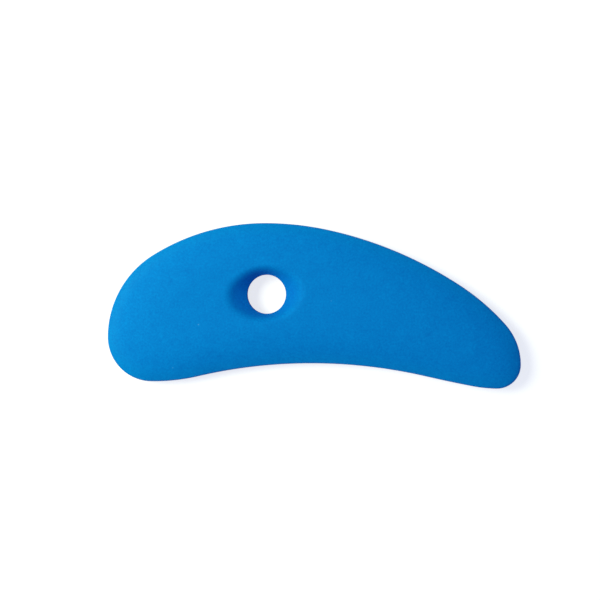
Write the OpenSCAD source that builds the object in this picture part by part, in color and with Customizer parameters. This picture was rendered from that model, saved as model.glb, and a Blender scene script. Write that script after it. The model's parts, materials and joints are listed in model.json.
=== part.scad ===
// Kidney-shaped pottery rib, moulded in one piece with a finger hole through it.
// It lies flat: +X runs along it to the narrow toe, +Y to the convex back, +Z up.
// The origin is under the middle of its outline, on the surface that it lies on.

/* [Size] */
// Length from the heel to the toe
rib_length = 140; // [125:1:170]
// Thickness over the flat middle of both faces
thickness = 10; // [7:0.5:12]
// Radius of the rounded edge that runs all round the rib
edge_r = 1.2; // [0.8:0.1:1.5]
// Steepness of each face where it meets the rounded edge, in degrees
face_angle = 35; // [30:1:42]
// Depth inside the outline at which each face becomes flat
crown_depth = 9; // [8:0.25:10]

/* [Outline, as drawn on a rib about 140 long] */
// Radius of the run from the heel into the belly
heel_run_r = 68; // [60:1:76]
// Radius of the hollow belly
belly_r = 171.5; // [160:0.5:180]
// Radius of the nearly straight run from the belly to the toe
toe_run_r = 436; // [380:1:500]
// Radius under the toe
under_toe_r = 47.5; // [40:0.5:55]
// Radius round the end of the toe
toe_r = 7.9; // [6.5:0.1:9.5]
// Radius of the back where it leaves the toe
nose_r = 74; // [66:1:82]
// Radius of the long falling part of the back
long_back_r = 132.2; // [126:0.1:140]
// Radius over the top of the back
crown_r = 102; // [94:1:110]
// Radius of the back where it turns down to the heel
shoulder_r = 73.3; // [68:0.1:80]
// Radius round the heel
heel_r = 15.2; // [13:0.1:18]

/* [Finger hole and dish] */
// Radius of the hole
hole_r = 6.6; // [5:0.1:7.5]
// Distance of the hole's centre from the heel end
hole_from_heel = 54.9; // [50:0.1:62]
// Distance of the hole's centre from the top of the back
hole_from_back = 24.1; // [22:0.1:27]
// Length of the straight wall in the hole
hole_wall = 1.6; // [1:0.1:3]
// Half the length of the oval dish round the hole
dish_half_l = 12.7; // [11.5:0.1:14]
// Half the width of the oval dish
dish_half_w = 8.5; // [8:0.1:9.5]
// Turn of the dish's long axis towards the back, in degrees
dish_turn = 7; // [0:1:15]
// Distance on each side of the dish's rim over which the rim is rounded off
rim_softness = 1.45; // [0.8:0.05:2]

/* [Fineness] */
// How far the outline's chords may lie inside its arcs
chord_gap = 0.05; // [0.02:0.01:0.1]
// Number of steps round the edge, from its middle to each face
edge_steps = 3; // [2:1:5]
// Number of steps over each face, from the edge to the dish
face_steps = 9; // [6:1:14]

/* [Hidden] */

// The outline is a closed path of arcs that pass smoothly into each other, anticlockwise from above.
// It starts at the lowest point of the heel. These are its headings, in degrees, where one arc ends
// and the next begins. The path's outermost points are where it heads along an axis: 0, 90, 180, 270.
headings = [0, 14, -12, -10, 0, 90, 132, 147, 168, 180, 212, 270, 360];
arcs = len(headings) - 1;

// Places of some arcs in the path
under_heel = 0;
toe_end = 4;
above_toe = 5;
shoulder = 9;
heel_back = 10;
heel = 11;

// Radii along the path, where the hollow belly is negative. The two at 0 are solved to close the path.
drawn_radii = [
    heel_run_r, -belly_r, toe_run_r, under_toe_r, toe_r, 0,
    nose_r, long_back_r, crown_r, shoulder_r, 0, heel_r
];

// Travel from one end of each arc to the other, for a radius of 1
unit_travel = [
    for (i = [0:arcs - 1])
        [sin(headings[i + 1]) - sin(headings[i]), cos(headings[i]) - cos(headings[i + 1])]
];
open_gap = drawn_radii * unit_travel;
closing_area = cross(unit_travel[above_toe], unit_travel[heel_back]);
above_toe_r = cross(-open_gap, unit_travel[heel_back]) / closing_area;
heel_back_r = cross(unit_travel[above_toe], -open_gap) / closing_area;
radii = [
    for (i = [0:arcs - 1])
        i == above_toe ? above_toe_r : i == heel_back ? heel_back_r : drawn_radii[i]
];

// Where each arc begins
starts = [for (i = 0, p = [0, 0]; i < arcs; p = p + radii[i] * unit_travel[i], i = i + 1) p];

// Reach of the outline as drawn, from the arcs that begin at its outermost points
drawn_left = starts[heel][0];
drawn_right = starts[above_toe][0];
drawn_top = starts[shoulder][1];
drawn_bottom = min(starts[under_heel][1], starts[toe_end][1]);
drawn_middle = [drawn_left + drawn_right, drawn_bottom + drawn_top] / 2;
outline_scale = rib_length / (drawn_right - drawn_left);
rib_width = (drawn_top - drawn_bottom) * outline_scale;
hole_centre = [hole_from_heel - rib_length / 2, rib_width / 2 - hole_from_back];

// Number of chords in arc i, and the outline's corners as [point, heading] pairs
function arc_chords(i) =
    let(turn = abs(headings[i + 1] - headings[i]), r = abs(radii[i]) * outline_scale)
    ceil(turn / (2 * acos(1 - chord_gap / r)));
outline = [
    for (i = [0:arcs - 1])
        let(chords = arc_chords(i), from = headings[i], turn = headings[i + 1] - from)
            for (k = [0:chords - 1])
                let(
                    h = from + turn * k / chords,
                    travel = radii[i] * [sin(h) - sin(from), cos(from) - cos(h)]
                )
                    [(starts[i] + travel - drawn_middle) * outline_scale, h]
];
corners = len(outline);

// The rounded edge turns from upright to the angle of the face, and ends at this inset and half height
edge_turn = 90 - face_angle;
edge_inset = edge_r * (1 - cos(edge_turn));
edge_half_h = edge_r * sin(edge_turn);
face_rise = thickness / 2 - edge_half_h;
crown_power = tan(face_angle) * (crown_depth - edge_inset) / face_rise;

// Depth of a point inside the outline: the harmonic mean of its distances to the edge in all directions.
// Close to the edge it is the plain distance. Each chord adds the share of the directions that it covers.
function chord_share(p, a, b) =
    let(
        along = (b - a) / norm(b - a),
        inward = cross(along, p - a),
        from_a = (a - p) * along,
        from_b = (b - p) * along
    )
    (from_b / norm(b - p) - from_a / norm(a - p)) / inward;
function depth(p) =
    let(shares = [for (i = [0:corners - 1]) chord_share(p, outline[i][0], outline[(i + 1) % corners][0])])
    2 / (shares * [for (s = shares) 1]);

// Half thickness of the crowned face at a depth, before the dish is taken out of it
function face_half_h(d) =
    let(t = min(1, max(0, (d - edge_inset) / (crown_depth - edge_inset))))
    edge_half_h + face_rise * (1 - pow(1 - t, crown_power));

// Half thickness of the dish's oval cone. Its way is 0 at the hole's wall and 1 at the rim.
dish_rise = (thickness - hole_wall) / 2;
function dish_half_h(way) = hole_wall / 2 + dish_rise * way;
function rim_r(angle) =
    let(off_axis = angle - dish_turn)
    1 / norm([cos(off_axis) / dish_half_l, sin(off_axis) / dish_half_w]);
function bearing(p) = atan2(p[1] - hole_centre[1], p[0] - hole_centre[0]);
function dish_way(p) = (norm(p - hole_centre) - hole_r) / (rim_r(bearing(p)) - hole_r);
function dish_point(way, angle) =
    hole_centre + (hole_r + way * (rim_r(angle) - hole_r)) * [cos(angle), sin(angle)];

// Share of the flank, on each side of the rim, over which the rim is rounded off. It ends before the wall.
widest_band = 0.9;
function rim_band(angle) = min(widest_band, rim_softness / (rim_r(angle) - hole_r));

// The lower of two heights, with the corner between them rounded off
function soft_min(a, b, blend) =
    let(overlap = max(blend - abs(a - b), 0) / blend)
    min(a, b) - overlap * overlap * blend / 4;
function half_h(p) =
    soft_min(face_half_h(depth(p)), dish_half_h(dish_way(p)), dish_rise * rim_band(bearing(p)));

// Rings of the dish, as places from outside the soft rim to inside it. One more lies inside the hole's wall.
rim_places = [1, 0.5, 0, -0.5, -1];
past_wall = -0.12;
function ring_way(k, angle) =
    k < len(rim_places) ? 1 + rim_places[k] * rim_band(angle) : past_wall;

// Each corner of the outline has its angle on the dish: partly its bearing, partly its share of the edge
bearing_share = 0.4;
chord_lengths = [for (i = [0:corners - 1]) norm(outline[(i + 1) % corners][0] - outline[i][0])];
edge_length = chord_lengths * [for (length = chord_lengths) 1];
first_bearing = bearing(outline[0][0]);
dish_angles = [
    for (i = 0, run = 0; i < corners; run = run + chord_lengths[i], i = i + 1)
        let(
            b = bearing(outline[i][0]),
            by_bearing = b < first_bearing ? b + 360 : b,
            by_edge = first_bearing + 360 * run / edge_length
        )
            bearing_share * by_bearing + (1 - bearing_share) * by_edge
];

module rib() {
    mid = thickness / 2;
    edge_rings = [
        for (k = [0:edge_steps])
            let(turn = edge_turn * k / edge_steps, inset = edge_r * (1 - cos(turn)))
                [
                    for (corner = outline)
                        let(p = corner[0] + inset * [-sin(corner[1]), cos(corner[1])])
                            [p[0], p[1], edge_r * sin(turn)]
                ]
    ];
    rim_ring = [for (angle = dish_angles) dish_point(ring_way(0, angle), angle)];
    face_rings = [
        for (k = [1:face_steps - 1])
            let(way = pow(k / face_steps, 1.2))
                [
                    for (i = [0:corners - 1])
                        let(
                            e = edge_rings[edge_steps][i],
                            p = (1 - way) * [e[0], e[1]] + way * rim_ring[i]
                        )
                            [p[0], p[1], half_h(p)]
                ]
    ];
    dish_rings = [
        for (k = [0:len(rim_places)])
            [
                for (angle = dish_angles)
                    let(p = dish_point(ring_way(k, angle), angle))
                        [p[0], p[1], half_h(p)]
            ]
    ];
    upper = concat(edge_rings, face_rings, dish_rings);
    turns = len(upper) - 1;
    rings = [
        for (k = [-turns:turns])
            [for (p = upper[abs(k)]) [p[0], p[1], mid + sign(k) * p[2]]]
    ];
    last = len(rings) - 1;
    skin = [
        for (k = [0:last - 1], i = [0:corners - 1])
            let(
                j = (i + 1) % corners,
                low = k * corners + i,
                low_next = k * corners + j,
                high = low + corners,
                high_next = low_next + corners
            )
                each k < turns
                    ? [[low, high, low_next], [low_next, high, high_next]]
                    : [[low, high, high_next], [low, high_next, low_next]]
    ];
    caps = [
        [for (i = [0:corners - 1]) i],
        [for (i = [corners - 1:-1:0]) last * corners + i]
    ];
    color([0, 0.48, 0.78])
        difference() {
            polyhedron(points = [for (ring = rings) each ring], faces = concat(skin, caps), convexity = 6);
            translate([hole_centre[0], hole_centre[1], -1])
                cylinder(h = thickness + 2, r = hole_r, $fn = 96);
        }
}

rib();
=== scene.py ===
"""Kidney-shaped pottery rib of matte blue silicone, lying on a pale floor and seen from above.

The rib is one moulding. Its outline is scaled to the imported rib's box, and its hole sits where the
record's bore mount says.
"""

import json
import logging
import math
from collections.abc import Iterable, Iterator
from dataclasses import dataclass
from enum import Enum
from typing import Any, ClassVar, NamedTuple

import bmesh
import bpy
import numpy as np
from mathutils import Matrix, Vector


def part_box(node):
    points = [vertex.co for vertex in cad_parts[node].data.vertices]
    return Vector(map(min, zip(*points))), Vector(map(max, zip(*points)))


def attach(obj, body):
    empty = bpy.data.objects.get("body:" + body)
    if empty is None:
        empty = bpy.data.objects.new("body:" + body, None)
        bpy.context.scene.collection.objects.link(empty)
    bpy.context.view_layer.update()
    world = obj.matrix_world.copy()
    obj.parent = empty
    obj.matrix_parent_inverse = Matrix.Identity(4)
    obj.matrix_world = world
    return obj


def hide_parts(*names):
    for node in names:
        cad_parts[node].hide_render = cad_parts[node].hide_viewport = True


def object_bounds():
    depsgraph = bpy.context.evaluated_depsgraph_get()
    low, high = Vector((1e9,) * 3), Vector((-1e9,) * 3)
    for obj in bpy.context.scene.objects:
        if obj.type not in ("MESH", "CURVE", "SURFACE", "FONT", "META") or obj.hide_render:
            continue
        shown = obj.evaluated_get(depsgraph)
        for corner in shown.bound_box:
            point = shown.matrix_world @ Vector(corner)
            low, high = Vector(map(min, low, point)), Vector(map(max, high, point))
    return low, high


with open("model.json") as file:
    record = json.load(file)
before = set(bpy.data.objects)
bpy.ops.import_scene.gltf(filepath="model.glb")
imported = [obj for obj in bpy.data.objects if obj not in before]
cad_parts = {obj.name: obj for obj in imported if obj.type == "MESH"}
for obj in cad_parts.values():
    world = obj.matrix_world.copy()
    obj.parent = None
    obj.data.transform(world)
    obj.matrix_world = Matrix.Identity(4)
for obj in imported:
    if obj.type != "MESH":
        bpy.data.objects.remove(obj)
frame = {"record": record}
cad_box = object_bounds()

MM = 0.001
UP = Vector((0.0, 0.0, 1.0))
RIB_NODE = "rib"
RIB_BODY = "root"
BORE_MOUNT = "hanging_hole"
STATION = "station"
# Share of the burnish, which makes the edge smoother, and of the painted edge light, which makes the edge's
# colour paler
BURNISH_AND_EDGE_LIGHT = "burnish_and_edge_light"
# Share of the painted shade, which makes the dish's colour darker round the hole
PAINTED_DISH_SHADE = "painted_dish_shade"

Colour = tuple[float, float, float]
SocketColour = tuple[float, float, float, float]
Place = tuple[float, float, float]

WHITE: SocketColour = (1.0, 1.0, 1.0, 1.0)

log = logging.getLogger("pottery_rib")


class Ray(Enum):
    """Kinds of ray to which the floor and the backdrop show as plain white."""

    CAMERA = "Is Camera Ray"
    GLOSSY = "Is Glossy Ray"
    TRANSMISSION = "Is Transmission Ray"


def smooth_step(values: np.ndarray, low: float, high: float) -> np.ndarray:
    """Eases from 0 to 1.

    Args:
        values: Numbers to ease.
        low: Value up to which the result is 0.
        high: Value from which the result is 1.

    Returns:
        The eased numbers.
    """
    share = np.clip((values - low) / (high - low), 0.0, 1.0)
    return share * share * (3.0 - 2.0 * share)


def soft_min(first: np.ndarray, second: np.ndarray, blend: np.ndarray) -> np.ndarray:
    """Takes the lower of two heights, with the corner between them rounded off.

    Args:
        first: Heights of one surface.
        second: Heights of the other surface.
        blend: Difference of height within which the two run into each other.

    Returns:
        The blended heights.
    """
    overlap = np.maximum(blend - np.abs(first - second), 0.0) / blend
    return np.minimum(first, second) - overlap * overlap * blend / 4.0


def opaque(channels: Iterable[float]) -> SocketColour:
    """Completes a colour with full cover, as a shader's socket takes it."""
    return (*channels, 1.0)


def grey(level: float) -> SocketColour:
    """Gives the grey of one level."""
    return opaque((level, level, level))


@dataclass(frozen=True)
class NodeSheet:
    """Writes nodes into one shader tree."""

    tree: bpy.types.NodeTree

    def feed(self, socket: bpy.types.NodeSocket, value: Any) -> None:
        """Gives an input its value.

        Args:
            socket: The input.
            value: Another node's output, which is linked to it, or a constant, which is set on it.
        """
        if isinstance(value, bpy.types.NodeSocket):
            self.tree.links.new(value, socket)
        else:
            socket.default_value = value

    def add(self, kind: str, inputs: dict[str | int, Any] | None = None, **settings: Any) -> bpy.types.Node:
        """Adds a node.

        Args:
            kind: The node's type, without its leading "ShaderNode".
            inputs: What feeds each input, by the input's name or place.
            **settings: The node's own properties.

        Returns:
            The new node.
        """
        node = self.tree.nodes.new(f"ShaderNode{kind}")
        for name, setting in settings.items():
            setattr(node, name, setting)
        for key, value in (inputs or {}).items():
            self.feed(node.inputs[key], value)
        return node

    def maths(self, operation: str, *values: Any) -> bpy.types.NodeSocket:
        """Adds a Math node and returns its output."""
        return self.add("Math", dict(enumerate(values)), operation=operation).outputs[0]

    def ease(self, value: Any, low: Any, high: Any, start: Any, end: Any) -> bpy.types.NodeSocket:
        """Eases from start, where value is low, to end, where value is high, and returns the output."""
        inputs = {"Value": value, "From Min": low, "From Max": high, "To Min": start, "To Max": end}
        return self.add("MapRange", inputs, interpolation_type="SMOOTHSTEP").outputs[0]

    def mix(self, kind: str, factor: Any, first: Any, second: Any, **settings: Any) -> bpy.types.NodeSocket:
        """Mixes two colours or two numbers.

        Args:
            kind: RGBA for colours, FLOAT for numbers.
            factor: 0 for the first, 1 for the second.
            first: The first colour or number.
            second: The second colour or number.
            **settings: The node's own properties.

        Returns:
            The mixed output.
        """
        node = self.add("Mix", data_type=kind, **settings)
        sockets = {socket.identifier: socket for socket in (*node.inputs, *node.outputs)}
        suffix = {"RGBA": "Color", "FLOAT": "Float"}[kind]
        self.feed(sockets["Factor_Float"], factor)
        self.feed(sockets[f"A_{suffix}"], first)
        self.feed(sockets[f"B_{suffix}"], second)
        return sockets[f"Result_{suffix}"]


@dataclass(frozen=True)
class EffectGroup:
    """A shader node group, with its input and output nodes ready to be linked."""

    tree: bpy.types.NodeTree
    inputs: bpy.types.Node
    outputs: bpy.types.Node

    @classmethod
    def start(cls, name: str, inputs: dict[str, str], outputs: tuple[str, ...]) -> "EffectGroup":
        """Makes a node group.

        Args:
            name: Name of the group.
            inputs: Kind of each input socket, by its name.
            outputs: Names of the output sockets, which are all numbers.

        Returns:
            The group, with nothing between its input and output nodes.
        """
        tree = bpy.data.node_groups.new(name, "ShaderNodeTree")
        for socket, kind in inputs.items():
            tree.interface.new_socket(socket, in_out="INPUT", socket_type=f"NodeSocket{kind}")
        for socket in outputs:
            tree.interface.new_socket(socket, in_out="OUTPUT", socket_type="NodeSocketFloat")
        return cls(tree, tree.nodes.new("NodeGroupInput"), tree.nodes.new("NodeGroupOutput"))


@dataclass(frozen=True)
class MouldGrain:
    """Effect of a moulded skin: a fine grain, with a faint mottling of the dye under it."""

    grain_detail: float = 2.0
    grain_roughness: float = 0.6
    mottle_detail: float = 3.0
    mottle_roughness: float = 0.55

    def build(self) -> bpy.types.NodeTree:
        """Makes the node group.

        Returns:
            A group that turns a place into a tone and a height, both from 0 to 1.
        """
        inputs = {"Place": "Vector", "Grain Scale": "Float", "Mottle Scale": "Float", "Mottle Share": "Float"}
        group = EffectGroup.start("mould_grain", inputs, ("Tone", "Height"))
        sheet = NodeSheet(group.tree)
        given = group.inputs.outputs
        grain = sheet.add("TexNoise", {
            "Vector": given["Place"],
            "Scale": given["Grain Scale"],
            "Detail": self.grain_detail,
            "Roughness": self.grain_roughness,
        }).outputs[0]
        mottle = sheet.add("TexNoise", {
            "Vector": given["Place"],
            "Scale": given["Mottle Scale"],
            "Detail": self.mottle_detail,
            "Roughness": self.mottle_roughness,
        }).outputs[0]
        sheet.feed(group.outputs.inputs["Tone"], sheet.mix("FLOAT", given["Mottle Share"], grain, mottle))
        sheet.feed(group.outputs.inputs["Height"], grain)
        return group.tree


@dataclass(frozen=True)
class StrayFlecks:
    """Effect of a few pale flecks on a skin, of which one lies at a chosen place."""

    core_share: float = 0.4

    def build(self) -> bpy.types.NodeTree:
        """Makes the node group.

        Returns:
            A group that turns a place into a mask, 1 in the core of a fleck and 0 beyond its radius.
        """
        inputs = {"Place": "Vector", "Chosen Place": "Vector", "Cells": "Float", "Radius": "Float"}
        group = EffectGroup.start("stray_flecks", inputs, ("Mask",))
        sheet = NodeSheet(group.tree)
        given = group.inputs.outputs
        cells = sheet.add("TexVoronoi", {"Vector": given["Place"], "Scale": given["Cells"]})
        from_cell = sheet.maths("DIVIDE", cells.outputs["Distance"], given["Cells"])
        from_chosen = sheet.add(
            "VectorMath", {0: given["Place"], 1: given["Chosen Place"]}, operation="DISTANCE",
        ).outputs["Value"]
        nearest = sheet.maths("MINIMUM", from_cell, from_chosen)
        core = sheet.maths("MULTIPLY", given["Radius"], self.core_share)
        sheet.feed(group.outputs.inputs["Mask"], sheet.ease(nearest, core, given["Radius"], 1.0, 0.0))
        return group.tree


@dataclass(frozen=True)
class SiliconeFinish:
    """Matte silicone, dyed through: a fine grain, a burnished edge with painted edge light, and painted shade
    in the dish.

    Along the burnished edge the skin is smoother, and its colour is painted a little paler as painted light.
    In the dish round the hole its colour is painted darker as painted shade.
    """

    dye: Colour = (0.0, 0.2, 0.56)
    tone_spread: Colour = (0.42, 0.42, 0.24)
    roughness: float = 0.74
    burnished_roughness: float = 0.52
    specular_level: float = 0.04
    grain_scale: float = 1600.0
    mottle_scale: float = 260.0
    mottle_share: float = 0.27
    grain_height: float = 0.03 * MM
    # Painted shade: this tint makes the colour in the dish darker
    painted_dish_shade_tint: Colour = (1.0, 0.85, 0.99)
    # Painted edge light: this tint makes the colour along the edge paler
    painted_edge_light_tint: Colour = (1.0, 1.06, 1.0)
    fleck_tint: Colour = (0.1, 0.4, 0.7)
    fleck_cover: float = 0.5
    fleck_cells: float = 85.0
    fleck_radius: float = 0.3 * MM
    fleck_place: Place = (-37.5 * MM, -7.3 * MM, 10.0 * MM)

    def build(self, name: str) -> bpy.types.Material:
        """Makes the material.

        Args:
            name: Name of the material.

        Returns:
            The new material, which reads object coordinates, the burnish and painted edge light share, and
            the painted dish shade share.
        """
        material = bpy.data.materials.new(name)
        material.use_nodes = True
        sheet = NodeSheet(material.node_tree)
        shader = material.node_tree.nodes["Principled BSDF"]
        place = sheet.add("TexCoord").outputs["Object"]
        burnish_and_edge_light = sheet.add("Attribute", attribute_name=BURNISH_AND_EDGE_LIGHT).outputs["Fac"]
        painted_dish_shade = sheet.add("Attribute", attribute_name=PAINTED_DISH_SHADE).outputs["Fac"]
        grain = sheet.add("Group", {
            "Place": place,
            "Grain Scale": self.grain_scale,
            "Mottle Scale": self.mottle_scale,
            "Mottle Share": self.mottle_share,
        }, node_tree=MouldGrain().build())
        flecks = sheet.add("Group", {
            "Place": place,
            "Chosen Place": self.fleck_place,
            "Cells": self.fleck_cells,
            "Radius": self.fleck_radius,
        }, node_tree=StrayFlecks().build())
        dyed = sheet.mix("RGBA", grain.outputs["Tone"], self._toned(-1.0), self._toned(1.0))
        # Painted shade darkens the dish's colour, and painted light makes the edge's colour paler
        for share, tint in ((painted_dish_shade, self.painted_dish_shade_tint), (burnish_and_edge_light, self.painted_edge_light_tint)):
            dyed = sheet.mix("RGBA", share, dyed, opaque(tint), blend_type="MULTIPLY")
        cover = sheet.maths("MULTIPLY", flecks.outputs["Mask"], self.fleck_cover)
        sheet.feed(shader.inputs["Base Color"], sheet.mix("RGBA", cover, dyed, opaque(self.fleck_tint)))
        gloss = sheet.mix("FLOAT", burnish_and_edge_light, self.roughness, self.burnished_roughness)
        sheet.feed(shader.inputs["Roughness"], gloss)
        relief = sheet.maths("MULTIPLY", grain.outputs["Height"], sheet.maths("SUBTRACT", 1.0, burnish_and_edge_light))
        bump = sheet.add("Bump", {"Distance": self.grain_height, "Height": relief})
        sheet.feed(shader.inputs["Normal"], bump.outputs["Normal"])
        shader.inputs["Specular IOR Level"].default_value = self.specular_level
        return material

    def _toned(self, side: float) -> SocketColour:
        """Gives the dye's colour at the dark end of its mottling, for -1, or at the light end, for 1."""
        return opaque(channel * (1.0 + side * spread) for channel, spread in zip(self.dye, self.tone_spread))


@dataclass(frozen=True)
class Arc:
    """One arc of the outline, in the row frame. Its turn is negative where the path turns clockwise."""

    centre: Vector
    start: Vector
    heading: float
    turn: float
    steps: int

    def headings(self) -> np.ndarray:
        """Headings at the arc's stations, in radians, without its last point."""
        return self.heading + self.turn * np.arange(self.steps) / self.steps


@dataclass(frozen=True)
class KidneyOutline:
    """Closed path of arcs round the rib, seen from above, in which each arc runs smoothly into the next.

    The radii are those of a rib about 140 mm long, and the path is scaled to the rib's box. The headings are
    where one arc ends and the next begins, in degrees. The path heads along an axis at its outermost points,
    which are ends of arcs. Two radii aren't given: they are solved so that the path closes.
    """

    low: Vector
    high: Vector
    heel_run: float = 68.0 * MM
    belly: float = 171.5 * MM
    toe_run: float = 436.0 * MM
    under_toe: float = 47.5 * MM
    toe: float = 7.9 * MM
    nose: float = 74.0 * MM
    long_back: float = 132.2 * MM
    crown: float = 102.0 * MM
    shoulder: float = 73.3 * MM
    heel: float = 15.2 * MM
    longest_chord: float = 1.0 * MM
    largest_turn: float = math.radians(5.0)

    HEADINGS: ClassVar[tuple[int, ...]] = (0, 14, -12, -10, 0, 90, 132, 147, 168, 180, 212, 270, 360)
    ABOVE_TOE: ClassVar[int] = 5
    HEEL_BACK: ClassVar[int] = 10

    def arcs(self) -> list[Arc]:
        """Lays the arcs end to end, anticlockwise from the lowest point of the heel.

        Returns:
            The arcs, scaled and centred to fit the rib's box.
        """
        headings = np.radians(self.HEADINGS)
        travel = np.stack([np.diff(np.sin(headings)), -np.diff(np.cos(headings))], axis=1)
        radii = self._radii(travel)
        ends = np.cumsum(radii[:, None] * travel, axis=0)
        starts = np.vstack([np.zeros(2), ends[:-1]])
        low, high = starts.min(axis=0), starts.max(axis=0)
        scale = (self.high.x - self.low.x) / (high[0] - low[0])
        middle = np.array((self.low + self.high).xy) / 2.0
        starts = (starts - (low + high) / 2.0) * scale + middle
        return [
            self._arc(start, radius * scale, heading, turn)
            for start, radius, heading, turn in zip(starts, radii, headings, np.diff(headings))
        ]

    def _radii(self, travel: np.ndarray) -> np.ndarray:
        """Completes the list of radii with the two that close the path.

        Args:
            travel: Way from start to end of each arc, for a radius of 1.

        Returns:
            One radius for each arc, negative where the path turns clockwise.
        """
        radii = np.array([
            self.heel_run, -self.belly, self.toe_run, self.under_toe, self.toe, 0.0,
            self.nose, self.long_back, self.crown, self.shoulder, 0.0, self.heel,
        ])
        solved = [self.ABOVE_TOE, self.HEEL_BACK]
        radii[solved] = np.linalg.solve(travel[solved].T, -radii @ travel)
        return radii

    def _arc(self, start: np.ndarray, radius: float, heading: float, turn: float) -> Arc:
        """Makes one arc, with enough steps for a smooth edge.

        Args:
            start: Where the arc begins.
            radius: The arc's radius, negative where the path turns clockwise.
            heading: The path's heading where the arc begins, in radians.
            turn: Angle through which the path turns, in radians.

        Returns:
            The arc.
        """
        centre = start + radius * np.array([-math.sin(heading), math.cos(heading)])
        steps = math.ceil(max(radius * turn / self.longest_chord, abs(turn) / self.largest_turn))
        return Arc(Vector((*centre, 0.0)), Vector((*start, 0.0)), heading, turn, steps)


@dataclass(frozen=True)
class InsideDepth:
    """Depth of points inside a closed ring: the harmonic mean of their distances to it in all directions.

    Close to the ring it is the plain distance to the ring, and towards the middle it levels off smoothly.
    The points are measured in batches, which keeps the memory small.
    """

    ring: np.ndarray

    BATCH: ClassVar[int] = 2000

    def at(self, points: np.ndarray) -> np.ndarray:
        """Measures the depth of points.

        Args:
            points: Places inside the ring, one row of two coordinates each.

        Returns:
            The depth of each place.
        """
        batches = [points[first:first + self.BATCH] for first in range(0, len(points), self.BATCH)]
        return np.concatenate([self._depths(batch) for batch in batches])

    def _depths(self, points: np.ndarray) -> np.ndarray:
        """Adds up, for each point, the share of the directions that each chord of the ring covers.

        Args:
            points: A batch of places inside the ring.

        Returns:
            The depth of each place.
        """
        chord = np.roll(self.ring, -1, axis=0) - self.ring
        length = np.linalg.norm(chord, axis=1)
        along = chord / length[:, None]
        offset = self.ring[None] - points[:, None]
        from_start = (offset * along).sum(axis=2)
        from_end = from_start + length
        inward = offset[..., 0] * along[:, 1] - offset[..., 1] * along[:, 0]
        shares = (from_end / np.hypot(from_end, inward) - from_start / np.hypot(from_start, inward)) / inward
        return 2.0 / shares.sum(axis=1)


@dataclass(frozen=True)
class CrownedFace:
    """Section of a face: a rounded edge, a rise that eases off with depth, and a flat middle."""

    half_thickness: float
    edge_radius: float = 1.2 * MM
    face_angle: float = math.radians(35.0)
    flat_depth: float = 9.0 * MM
    seam_height: float = 0.06 * MM
    seam_half_width: float = 0.12 * MM
    seam_fade: tuple[float, float] = (0.35 * MM, 0.95 * MM)
    edge_steps: int = 12
    edge_crowding: float = 1.7

    @property
    def edge_turn(self) -> float:
        """Angle through which the rounded edge turns, from its middle to where the face begins."""
        return math.pi / 2.0 - self.face_angle

    @property
    def edge_inset(self) -> float:
        """Distance inside the outline at which the face begins."""
        return self.edge_radius * (1.0 - math.cos(self.edge_turn))

    @property
    def edge_height(self) -> float:
        """Height of the face's beginning over the middle plane."""
        return self.edge_radius * math.sin(self.edge_turn)

    def edge_profile(self) -> list[tuple[float, float]]:
        """Draws the edge, with a fine seam along its middle where the halves of the mould met.

        Returns:
            Pairs of an inset from the outline and a height, from the crest of the seam to the face.
        """
        turns = self.edge_turn * (np.arange(self.edge_steps + 1) / self.edge_steps) ** self.edge_crowding
        heights = self.edge_radius * np.sin(turns)
        off_seam = 1.0 - np.exp(-(heights / self.seam_half_width) ** 2)
        recess = self.seam_height * off_seam * (1.0 - smooth_step(heights, *self.seam_fade))
        insets = self.edge_radius * (1.0 - np.cos(turns)) + recess
        return list(zip(insets, heights))

    def height(self, depth: np.ndarray) -> np.ndarray:
        """Gives the face's height over the middle plane.

        Args:
            depth: Depths of places inside the outline.

        Returns:
            The height at each place.
        """
        rise = self.half_thickness - self.edge_height
        reach = self.flat_depth - self.edge_inset
        power = math.tan(self.face_angle) * reach / rise
        share = np.clip((depth - self.edge_inset) / reach, 0.0, 1.0)
        return self.edge_height + rise * (1.0 - (1.0 - share) ** power)


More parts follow.
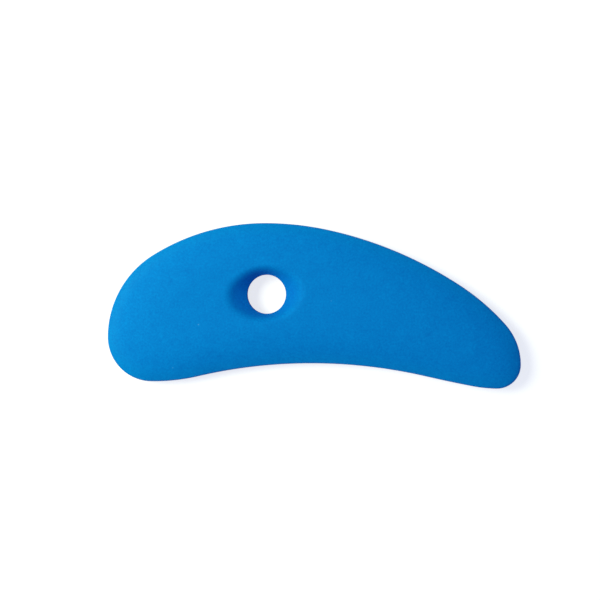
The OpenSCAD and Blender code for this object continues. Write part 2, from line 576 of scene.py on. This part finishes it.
@dataclass(frozen=True)
class FingerDish:
    """Oval dish round the hole, with a soft rim, a rounded lip and a short straight wall.

    A way into the dish is 1 at the rim and 0 at the wall. The oval's long axis is turned towards the back.
    """

    centre: np.ndarray
    hole_radius: float
    wall_height: float
    half_thickness: float
    half_length: float = 12.7 * MM
    half_width: float = 8.5 * MM
    turn: float = math.radians(7.0)
    rim_softness: float = 1.45 * MM
    widest_band: float = 0.9
    # Ways into the dish between which the painted shade fades out towards the rim
    painted_shade_ways: tuple[float, float] = (0.3, 1.05)
    lip_radius: float = 0.35 * MM
    last_way: float = 0.07
    flank_steps: int = 20
    lip_steps: int = 5
    wall_steps: int = 3

    @property
    def rise(self) -> float:
        """Height from the top of the straight wall to the rim."""
        return self.half_thickness - self.wall_height / 2.0

    def bearings(self, points: np.ndarray) -> np.ndarray:
        """Bearing of each point from the middle of the hole, in radians."""
        return np.arctan2(points[:, 1] - self.centre[1], points[:, 0] - self.centre[0])

    def flank(self, bearings: np.ndarray) -> np.ndarray:
        """Measures the dish's flank, from the hole's wall to the oval rim.

        Args:
            bearings: Bearings from the middle of the hole, in radians.

        Returns:
            The width of the flank at each bearing, seen from above.
        """
        off_axis = bearings - self.turn
        rim = np.hypot(np.cos(off_axis) / self.half_length, np.sin(off_axis) / self.half_width)
        return 1.0 / rim - self.hole_radius

    def band(self, bearings: np.ndarray) -> np.ndarray:
        """Share of the flank, on each side of the rim, over which the dish runs into the face."""
        return np.minimum(self.rim_softness / self.flank(bearings), self.widest_band)

    def ways(self, bearings: np.ndarray) -> Iterator[np.ndarray]:
        """Spreads the rings over the flank, from outside the soft rim to the lip.

        Args:
            bearings: Bearings of the points in each ring.

        Yields:
            The way of each point in a ring.
        """
        start = 1.0 + self.band(bearings)
        for share in np.linspace(0.0, 1.0, self.flank_steps):
            yield start + share * (self.last_way - start)

    def place(self, radii: np.ndarray, bearings: np.ndarray) -> np.ndarray:
        """Turns radii and bearings from the middle of the hole into places seen from above."""
        return self.centre + radii[:, None] * np.stack([np.cos(bearings), np.sin(bearings)], axis=1)

    def way_in(self, points: np.ndarray) -> np.ndarray:
        """Way of each point, which is more than 1 outside the rim."""
        from_wall = np.linalg.norm(points - self.centre, axis=1) - self.hole_radius
        return from_wall / self.flank(self.bearings(points))

    def at_way(self, way: np.ndarray, bearings: np.ndarray) -> np.ndarray:
        """Places at one way into the dish, at each bearing."""
        return self.place(self.hole_radius + way * self.flank(bearings), bearings)

    def carve(self, points: np.ndarray, face_height: np.ndarray) -> np.ndarray:
        """Takes the dish out of a face. The dish is an oval cone, and its rim is rounded off.

        Args:
            points: Places seen from above.
            face_height: Height of the face over the middle plane at each place.

        Returns:
            Height over the middle plane at each place, with the dish.
        """
        cone = self.wall_height / 2.0 + self.rise * self.way_in(points)
        return soft_min(face_height, cone, self.rise * self.band(self.bearings(points)))

    def painted_dish_shade(self, points: np.ndarray) -> np.ndarray:
        """Share of painted shade at each point: 1 by the hole, and 0 outside the rim."""
        return 1.0 - smooth_step(self.way_in(points), *self.painted_shade_ways)

    def lip_and_wall(self, bearings: np.ndarray) -> Iterator[tuple[np.ndarray, np.ndarray]]:
        """Follows the round lip from the flank to the straight wall, and the wall to its middle.

        Args:
            bearings: Bearings of the points in each ring.

        Yields:
            Places seen from above, and their heights over the middle plane.
        """
        slope = np.arctan2(self.rise, self.flank(bearings))
        wall_top = self.wall_height / 2.0 + self.lip_radius * (np.tan(slope) - 1.0 / np.cos(slope))
        for share in np.linspace(0.0, 1.0, self.lip_steps):
            angle = math.pi / 2.0 + slope + share * (math.pi / 2.0 - slope)
            radii = self.hole_radius + self.lip_radius * (1.0 + np.cos(angle))
            yield self.place(radii, bearings), wall_top + self.lip_radius * np.sin(angle)
        wall = self.place(np.full_like(bearings, self.hole_radius), bearings)
        for share in np.linspace(1.0, 0.0, self.wall_steps + 1)[1:]:
            yield wall, wall_top * share


class SkinRing(NamedTuple):
    """One ring of points on the upper half of the skin.

    The places are seen from above, and the heights are over the middle plane. The burnish and edge light
    share is 1 where the skin is worn smooth and its colour is painted paler as painted light, and the painted
    dish shade share is 1 where the dish's colour is painted darker as painted shade.
    """

    places: np.ndarray
    heights: np.ndarray
    burnish_and_edge_light: np.ndarray
    painted_dish_shade: np.ndarray


@dataclass(frozen=True)
class PotteryRib:
    """The rib: one moulding with a thin seamed edge, two crowned faces and a dish at each end of its hole."""

    outline: KidneyOutline
    face: CrownedFace
    dish: FingerDish
    finish: SiliconeFinish = SiliconeFinish()
    face_steps: int = 46
    face_crowding: float = 1.2
    bearing_share: float = 0.4
    # Depths over which the burnish and the painted edge light fade out
    burnished_and_lit_band: tuple[float, float] = (0.8 * MM, 4.4 * MM)
    weld: float = 0.01 * MM

    @classmethod
    def in_frame(cls, record: dict[str, Any]) -> "PotteryRib":
        """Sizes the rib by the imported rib's box and the record's bore mount.

        Args:
            record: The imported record.

        Returns:
            The rib, not yet built.
        """
        low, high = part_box(RIB_NODE)
        bore = next(mount for mount in record["mounts"] if mount["name"] == BORE_MOUNT)
        half_thickness = (high.z - low.z) / 2.0
        dish = FingerDish(
            centre=np.array(bore["pos_m"][:2]),
            hole_radius=bore["dims"]["r_mm"] * MM,
            wall_height=bore["dims"]["length_mm"] * MM,
            half_thickness=half_thickness,
        )
        return cls(KidneyOutline(low, high), CrownedFace(half_thickness), dish)

    def build(self) -> bpy.types.Object:
        """Models the rib, dresses it and puts it on the frame.

        Returns:
            The rib's object, at the origin, with its place in its mesh.
        """
        mesh = bpy.data.meshes.new("rib_moulding")
        self._model(mesh)
        mesh.materials.append(self.finish.build("matte_blue_silicone"))
        piece = bpy.data.objects.new("rib_moulding", mesh)
        bpy.context.scene.collection.objects.link(piece)
        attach(piece, RIB_BODY)
        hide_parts(RIB_NODE)
        return piece

    def _model(self, mesh: bpy.types.Mesh) -> None:
        """Models the moulding.

        The outline is spun arc by arc. Its ring is then extruded ring by ring over the upper face and down
        through the dish to the middle of the hole's wall, and the half is mirrored in the middle plane.

        Args:
            mesh: Mesh that takes the result.
        """
        bm = bmesh.new()
        station = bm.verts.layers.int.new(STATION)
        # Layers for the burnish with its painted edge light, and for the painted shade in the dish
        burnish_and_edge_light = bm.verts.layers.float.new(BURNISH_AND_EDGE_LIGHT)
        painted_dish_shade = bm.verts.layers.float.new(PAINTED_DISH_SHADE)
        arcs = self.outline.arcs()
        ring = self._spin_outline(bm, arcs)
        for number, vert in enumerate(ring):
            vert[station] = number
            vert[burnish_and_edge_light] = 1.0
        crest = np.array([vert.co.xy for vert in ring])
        headings = np.concatenate([arc.headings() for arc in arcs])
        for target in self._skin(crest, headings):
            edges = [bm.edges.get(pair) for pair in zip(ring, ring[1:] + ring[:1])]
            extruded = bmesh.ops.extrude_edge_only(bm, edges=edges)["geom"]
            ring = [part for part in extruded if isinstance(part, bmesh.types.BMVert)]
            ring.sort(key=lambda vert: vert[station])
            for vert, place, height, burnished_and_lit, shaded in zip(ring, *target):
                vert.co = (*place, height)
                vert[station] += len(ring)
                vert[burnish_and_edge_light] = burnished_and_lit
                vert[painted_dish_shade] = shaded
        half = bm.verts[:] + bm.edges[:] + bm.faces[:]
        bmesh.ops.mirror(bm, geom=half, matrix=Matrix.Identity(4), merge_dist=self.weld, axis="Z")
        self._put_in_order(bm, station)
        bm.verts.layers.int.remove(station)
        bmesh.ops.translate(bm, verts=bm.verts, vec=UP * (self.outline.low.z + self.face.half_thickness))
        bmesh.ops.recalc_face_normals(bm, faces=bm.faces)
        for part in bm.faces:
            part.smooth = True
        bm.to_mesh(mesh)
        bm.free()

    def _put_in_order(self, bm: bmesh.types.BMesh, station: bmesh.types.BMLayerItem) -> None:
        """Puts the points, edges and faces in a fixed order, because the operators' own order varies.

        Args:
            bm: The whole skin, with its middle plane at height 0.
            station: Layer that numbers the points of the upper half. The lower half repeats its numbers.
        """
        bm.verts.sort(key=lambda vert: 2 * vert[station] + (vert.co.z < 0.0))
        bm.verts.index_update()
        count = len(bm.verts)

        def rank(part: bmesh.types.BMEdge | bmesh.types.BMFace) -> int:
            """Ranks an edge or a face by its first point, and then by its last."""
            numbers = [vert.index for vert in part.verts]
            return min(numbers) * count + max(numbers)

        bm.edges.sort(key=rank)
        bm.faces.sort(key=rank)

    def _spin_outline(self, bm: bmesh.types.BMesh, arcs: list[Arc]) -> list[bmesh.types.BMVert]:
        """Spins a point along each arc, and closes the ring.

        Args:
            bm: The empty bmesh.
            arcs: The outline's arcs, end to end.

        Returns:
            The ring's points in order, from the start of the first arc.
        """
        first = last = bm.verts.new(arcs[0].start)
        for arc in arcs:
            spun = bmesh.ops.spin(
                bm, geom=[last], cent=arc.centre, axis=UP, dvec=Vector(), angle=arc.turn, steps=arc.steps,
                use_merge=False, use_normal_flip=False, use_duplicate=False,
            )
            last = next(part for part in spun["geom_last"] if isinstance(part, bmesh.types.BMVert))
        bmesh.ops.weld_verts(bm, targetmap={last: first})
        neighbours = [edge.other_vert(first) for edge in first.link_edges]
        ring = [first, max(neighbours, key=lambda vert: vert.co.x)]
        while len(ring) < len(bm.verts):
            ahead = (edge.other_vert(ring[-1]) for edge in ring[-1].link_edges)
            ring.append(next(vert for vert in ahead if vert is not ring[-2]))
        return ring

    def _skin(self, crest: np.ndarray, headings: np.ndarray) -> Iterator[SkinRing]:
        """Lays out the rings of the upper half, from the edge to the middle of the hole's wall.

        Args:
            crest: The outline's stations, along the crest of the seam.
            headings: The outline's heading at each station, in radians.

        Yields:
            The rings, in the order in which they are extruded.
        """
        depth = InsideDepth(crest)
        inward = np.stack([-np.sin(headings), np.cos(headings)], axis=1)
        full_share = np.ones(len(crest))
        no_share = np.zeros(len(crest))
        for inset, height in self.face.edge_profile()[1:]:
            face_start = crest + inset * inward
            yield SkinRing(face_start, np.full(len(crest), height), full_share, no_share)
        bearings = self._dish_bearings(crest)
        face_end = self.dish.at_way(1.0 + self.dish.band(bearings), bearings)
        for way in (np.arange(1, self.face_steps) / self.face_steps) ** self.face_crowding:
            places = (1.0 - way) * face_start + way * face_end
            depths = depth.at(places)
            height = self.dish.carve(places, self.face.height(depths))
            # Burnish and painted edge light, full at the edge and gone by the band's end
            burnished_and_lit = 1.0 - smooth_step(depths, *self.burnished_and_lit_band)
            yield SkinRing(places, height, burnished_and_lit, self.dish.painted_dish_shade(places))
        for way in self.dish.ways(bearings):
            places = self.dish.at_way(way, bearings)
            height = self.dish.carve(places, self.face.height(depth.at(places)))
            yield SkinRing(places, height, no_share, self.dish.painted_dish_shade(places))
        for places, height in self.dish.lip_and_wall(bearings):
            yield SkinRing(places, height, no_share, self.dish.painted_dish_shade(places))

    def _dish_bearings(self, crest: np.ndarray) -> np.ndarray:
        """Gives each station its bearing on the dish: partly its own bearing, partly its share of the edge.

        Args:
            crest: The outline's stations.

        Returns:
            One bearing for each station, in radians.
        """
        chords = np.linalg.norm(np.roll(crest, -1, axis=0) - crest, axis=1)
        run = np.concatenate([[0.0], np.cumsum(chords)[:-1]]) / chords.sum()
        own = np.unwrap(self.dish.bearings(crest))
        return self.bearing_share * own + (1.0 - self.bearing_share) * (own[0] + 2.0 * math.pi * run)


def white_to_the_eye(sheet: NodeSheet) -> bpy.types.NodeSocket:
    """Adds nodes that tell what the eye sees from what only gives light.

    Args:
        sheet: The material or world that gets the nodes.

    Returns:
        An output of 1 where the camera sees the surface, also in a gloss or through glass, and else 0.
    """
    rays = sheet.add("LightPath").outputs
    camera, glossy, transmission = (rays[kind.value] for kind in Ray)
    return sheet.maths("MAXIMUM", sheet.maths("MAXIMUM", camera, glossy), transmission)


@dataclass(frozen=True)
class PaleFloor:
    """Floor of white paper, which keeps the rib's shadow.

    To the eye it is part grey paper and part glow, so that it is white and the shadow on it is faint. Away
    from the rib it glows more, because the lamp gives it less. Light bounces off it as off pale paper.
    """

    half_size: float = 3.0
    bounce: float = 0.8
    paper: float = 0.4
    glow: float = 0.75
    far_glow: float = 1.0
    fade: tuple[float, float] = (0.08, 0.45)

    def build(self, height: float) -> bpy.types.Object:
        """Lays the floor.

        Args:
            height: Height of the floor.

        Returns:
            The floor's object.
        """
        bm = bmesh.new()
        bmesh.ops.create_grid(bm, x_segments=1, y_segments=1, size=self.half_size)
        bmesh.ops.translate(bm, verts=bm.verts, vec=UP * height)
        mesh = bpy.data.meshes.new("floor")
        bm.to_mesh(mesh)
        bm.free()
        material = bpy.data.materials.new("white_paper")
        material.use_nodes = True
        sheet = NodeSheet(material.node_tree)
        shader = material.node_tree.nodes["Principled BSDF"]
        seen = white_to_the_eye(sheet)
        paper = sheet.mix("RGBA", seen, grey(self.bounce), grey(self.paper))
        sheet.feed(shader.inputs["Base Color"], paper)
        shader.inputs["Roughness"].default_value = 1.0
        shader.inputs["Specular IOR Level"].default_value = 0.0
        shader.inputs["Emission Color"].default_value = WHITE
        place = sheet.add("TexCoord").outputs["Object"]
        away = sheet.add("VectorMath", {0: place}, operation="LENGTH").outputs["Value"]
        glow = sheet.maths("MULTIPLY", seen, sheet.ease(away, *self.fade, self.glow, self.far_glow))
        sheet.feed(shader.inputs["Emission Strength"], glow)
        mesh.materials.append(material)
        floor = bpy.data.objects.new("floor", mesh)
        bpy.context.scene.collection.objects.link(floor)
        return floor


@dataclass(frozen=True)
class SoftLamp:
    """Square soft lamp, placed by its direction from the rib, in degrees.

    Its level is the brightness that it gives a surface that faces it, where 1 shows a colour as written.
    """

    name: str
    azimuth: float
    elevation: float
    distance: float
    size: float
    level: float
    tint: Colour

    def build(self) -> bpy.types.Object:
        """Hangs the lamp, pointed at the origin.

        Returns:
            The lamp's object.
        """
        data = bpy.data.lights.new(self.name, "AREA")
        data.shape = "SQUARE"
        data.size = self.size
        data.color = self.tint
        # At level 1 a surface that faces the lamp gets pi watts to the square metre
        data.energy = self.level * math.pi ** 2 * self.distance ** 2
        lamp = bpy.data.objects.new(self.name, data)
        azimuth, elevation = math.radians(self.azimuth), math.radians(self.elevation)
        reach = math.cos(elevation)
        away = Vector((reach * math.cos(azimuth), reach * math.sin(azimuth), math.sin(elevation)))
        lamp.matrix_world = Matrix.LocRotScale(away * self.distance, away.to_track_quat("Z", "Y"), None)
        bpy.context.scene.collection.objects.link(lamp)
        return lamp


@dataclass(frozen=True)
class Studio:
    """Plain studio: a pale floor, a white backdrop that gives an even light, and one soft lamp.

    The even light is cool and the lamp is warm. On a face that points up they add to about a plain white
    light.
    """

    floor: PaleFloor = PaleFloor()
    key: SoftLamp = SoftLamp(
        name="key_lamp",
        azimuth=164.0,
        elevation=49.0,
        distance=0.54,
        size=0.27,
        level=1.11,
        tint=(1.0, 1.0, 0.72),
    )
    even_light: float = 0.22
    even_tint: Colour = (0.65, 1.0, 2.08)

    def build(self, floor_height: float) -> list[bpy.types.Object]:
        """Sets up the floor, the backdrop and the lamp.

        Args:
            floor_height: Height of the floor.

        Returns:
            The floor's and the lamp's objects.
        """
        self._hang_backdrop()
        bpy.context.scene.view_settings.view_transform = "Standard"
        return [self.floor.build(floor_height), self.key.build()]

    def _hang_backdrop(self) -> None:
        """Makes the world white to the eye, and an even light otherwise."""
        world = bpy.data.worlds.new("backdrop")
        world.use_nodes = True
        bpy.context.scene.world = world
        sheet = NodeSheet(world.node_tree)
        background = world.node_tree.nodes["Background"]
        light = opaque(self.even_light * channel for channel in self.even_tint)
        sheet.feed(background.inputs["Color"], sheet.mix("RGBA", white_to_the_eye(sheet), light, WHITE))


@dataclass(frozen=True)
class ViewCamera:
    """Camera that frames the rib from above, a little from the toe's side."""

    target: Place = (-3.772 * MM, 1.366 * MM, 5.0 * MM)
    distance: float = 0.4
    tilt: float = math.radians(6.0)
    roll: float = math.radians(0.675)
    lens: float = 71.1
    sensor: float = 36.0
    nearest: float = 0.01

    def build(self) -> bpy.types.Object:
        """Sets up the camera and makes it the scene's.

        Returns:
            The camera's object.
        """
        data = bpy.data.cameras.new("view_camera")
        data.lens = self.lens
        data.sensor_width = self.sensor
        data.clip_start = self.nearest
        camera = bpy.data.objects.new("view_camera", data)
        turned = Matrix.Rotation(self.roll, 3, "Z") @ Matrix.Rotation(self.tilt, 3, "Y")
        place = Vector(self.target) + turned @ UP * self.distance
        camera.matrix_world = Matrix.LocRotScale(place, turned.to_quaternion(), None)
        bpy.context.scene.collection.objects.link(camera)
        bpy.context.scene.camera = camera
        return camera


def main() -> None:
    """Builds the rib, the studio and the camera, and reports each."""
    logging.basicConfig(level=logging.INFO, format="%(name)s: %(message)s")
    rib = PotteryRib.in_frame(frame["record"]).build()
    log.info("%s: %d faces", rib.name, len(rib.data.polygons))
    for item in Studio().build(cad_box[0].z):
        log.info("%s: in place", item.name)
    camera = ViewCamera().build()
    log.info("%s: %.1f mm lens, %.0f mm away", camera.name, camera.data.lens, camera.location.length / MM)


if __name__ == "__main__":
    main()
